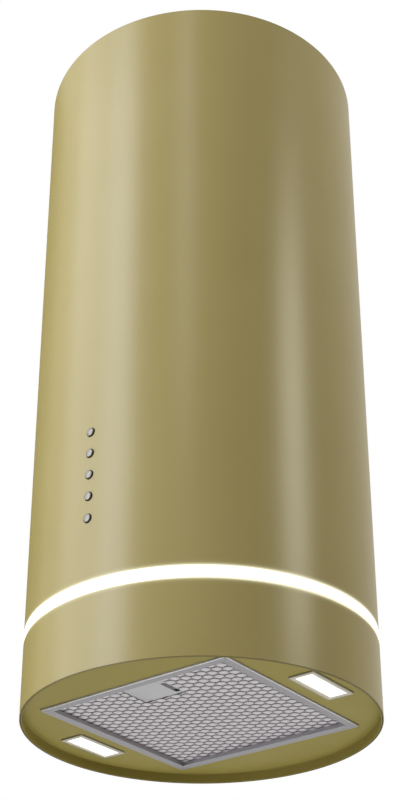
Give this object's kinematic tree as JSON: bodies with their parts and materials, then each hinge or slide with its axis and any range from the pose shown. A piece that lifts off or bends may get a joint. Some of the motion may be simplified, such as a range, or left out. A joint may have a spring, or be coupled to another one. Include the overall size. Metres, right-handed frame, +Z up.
{
  "type": "island range hood",
  "caption": "Cylindrical ceiling-hung island range hood with a light ring, push buttons, lamps, grease filter, blower and non-return flaps.",
  "frame": {"origin": "middle of the ceiling plate's top face, in the middle of its ring of ceiling fixings", "axes": "+Z up; the push buttons face -Y; +X is the hood's right, as seen by someone facing the buttons"},
  "size_m": [0.39, 0.3922, 0.85],
  "materials": {
    "aluminium_core": "layered fine aluminium mesh",
    "aluminium_heatsink": "plain extruded aluminium",
    "black_plastic": "moulded black plastic",
    "capacitor_can": "aluminium can",
    "champagne_shell": "satin champagne gold, rolled sheet steel",
    "chrome_buttons": "polished metal-plated plastic",
    "circuit_board": "green circuit board",
    "electrical_steel": "laminated electrical steel with copper windings",
    "filter_aluminium": "satin anodised aluminium",
    "frosted_lens": "frosted lens, lit",
    "galvanised_steel": "galvanised sheet steel",
    "grey_plastic": "moulded grey plastic",
    "impeller_plastic": "moulded wheel",
    "lamp_bezel_paint": "satin champagne gold moulding",
    "led_strip": "white tape with light chips",
    "opal_diffuser": "opal acrylic, lit",
    "spring_steel": "spring wire",
    "steel_shaft": "ground steel",
    "white_plastic": "satin white moulding",
    "zinc_fasteners": "zinc-plated steel"
  },
  "bodies": {
    "hood": {"blower_deck": "galvanised_steel", "bottom_panel": "champagne_shell", "button_spring_1": "spring_steel", "button_spring_2": "spring_steel", "button_spring_3": "spring_steel", "button_spring_4": "spring_steel", "button_spring_5": "spring_steel", "cable_gland": "black_plastic", "ceiling_plate": "galvanised_steel", "chassis_screws": "zinc_fasteners", "control_board": "circuit_board", "control_box": "white_plastic", "control_box_lid": "white_plastic", "damper_pin": "steel_shaft", "hanger_struts": "galvanised_steel", "lamp_bezel_left": "lamp_bezel_paint", "lamp_bezel_right": "lamp_bezel_paint", "lamp_board_left": "circuit_board", "lamp_board_right": "circuit_board", "lamp_heatsink_left": "aluminium_heatsink", "lamp_heatsink_right": "aluminium_heatsink", "lamp_lens_left": "frosted_lens", "lamp_lens_right": "frosted_lens", "led_driver": "white_plastic", "light_ring_carrier": "white_plastic", "light_ring_diffuser": "opal_diffuser", "light_strip": "led_strip", "lower_shell": "champagne_shell", "motor_bearings": "steel_shaft", "motor_bracket": "galvanised_steel", "motor_end_bell_inner": "galvanised_steel", "motor_end_bell_outer": "galvanised_steel", "motor_stator": "electrical_steel", "outlet_collar": "black_plastic", "plenum_drum": "galvanised_steel", "run_capacitor": "capacitor_can", "scroll_housing_left": "grey_plastic", "scroll_housing_right": "grey_plastic", "strut_bolts": "zinc_fasteners", "studs_and_nuts": "zinc_fasteners", "switch_block": "black_plastic", "switch_housing": "galvanised_steel", "terminal_block": "white_plastic", "upper_shell": "champagne_shell"},
    "filter": {"filter_frame": "filter_aluminium", "filter_mesh": "filter_aluminium", "filter_core": "aluminium_core", "latch_cover": "filter_aluminium", "latch_spring": "spring_steel"},
    "latch": {"latch_slide": "black_plastic"},
    "fan": {"impeller": "impeller_plastic", "motor_shaft": "steel_shaft", "motor_rotor": "electrical_steel"},
    "flap_left": {"damper_flap_left": "black_plastic"},
    "flap_right": {"damper_flap_right": "black_plastic"},
    "button_1": {"button_1": "chrome_buttons"},
    "button_2": {"button_2": "chrome_buttons"},
    "button_3": {"button_3": "chrome_buttons"},
    "button_4": {"button_4": "chrome_buttons"},
    "button_5": {"button_5": "chrome_buttons"}
  },
  "joints": [
    {"name": "filter_swing", "type": "hinge", "parent": "hood", "child": "filter", "pos_m": [0, 0.12348, -0.8384], "axis": [1, 0, 0], "range_deg": [0, 75]},
    {"name": "latch_pull", "type": "slide", "parent": "filter", "child": "latch", "axis": [0, 1, 0], "range_m": [0, 0.006], "stiffness_N_per_m": 300, "springref_m": -0.002, "deforming": ["latch_spring"]},
    {"name": "fan_spin", "type": "hinge", "parent": "hood", "child": "fan", "pos_m": [0, -0.05717, -0.67], "axis": [1, 0, 0], "continuous": true},
    {"name": "flap_left_swing", "type": "hinge", "parent": "hood", "child": "flap_left", "pos_m": [0, 0, -0.51], "axis": [0, 1, 0], "range_deg": [0, 75]},
    {"name": "flap_right_swing", "type": "hinge", "parent": "hood", "child": "flap_right", "pos_m": [0, 0, -0.51], "axis": [0, -1, 0], "range_deg": [0, 75]},
    {"name": "button_1_press", "type": "slide", "parent": "hood", "child": "button_1", "axis": [0, 1, 0], "range_m": [0, 0.0025], "stiffness_N_per_m": 500, "springref_m": -0.001, "deforming": ["button_spring_1"]},
    {"name": "button_2_press", "type": "slide", "parent": "hood", "child": "button_2", "axis": [0, 1, 0], "range_m": [0, 0.0025], "stiffness_N_per_m": 500, "springref_m": -0.001, "deforming": ["button_spring_2"]},
    {"name": "button_3_press", "type": "slide", "parent": "hood", "child": "button_3", "axis": [0, 1, 0], "range_m": [0, 0.0025], "stiffness_N_per_m": 500, "springref_m": -0.001, "deforming": ["button_spring_3"]},
    {"name": "button_4_press", "type": "slide", "parent": "hood", "child": "button_4", "axis": [0, 1, 0], "range_m": [0, 0.0025], "stiffness_N_per_m": 500, "springref_m": -0.001, "deforming": ["button_spring_4"]},
    {"name": "button_5_press", "type": "slide", "parent": "hood", "child": "button_5", "axis": [0, 1, 0], "range_m": [0, 0.0025], "stiffness_N_per_m": 500, "springref_m": -0.001, "deforming": ["button_spring_5"]}
  ]
}
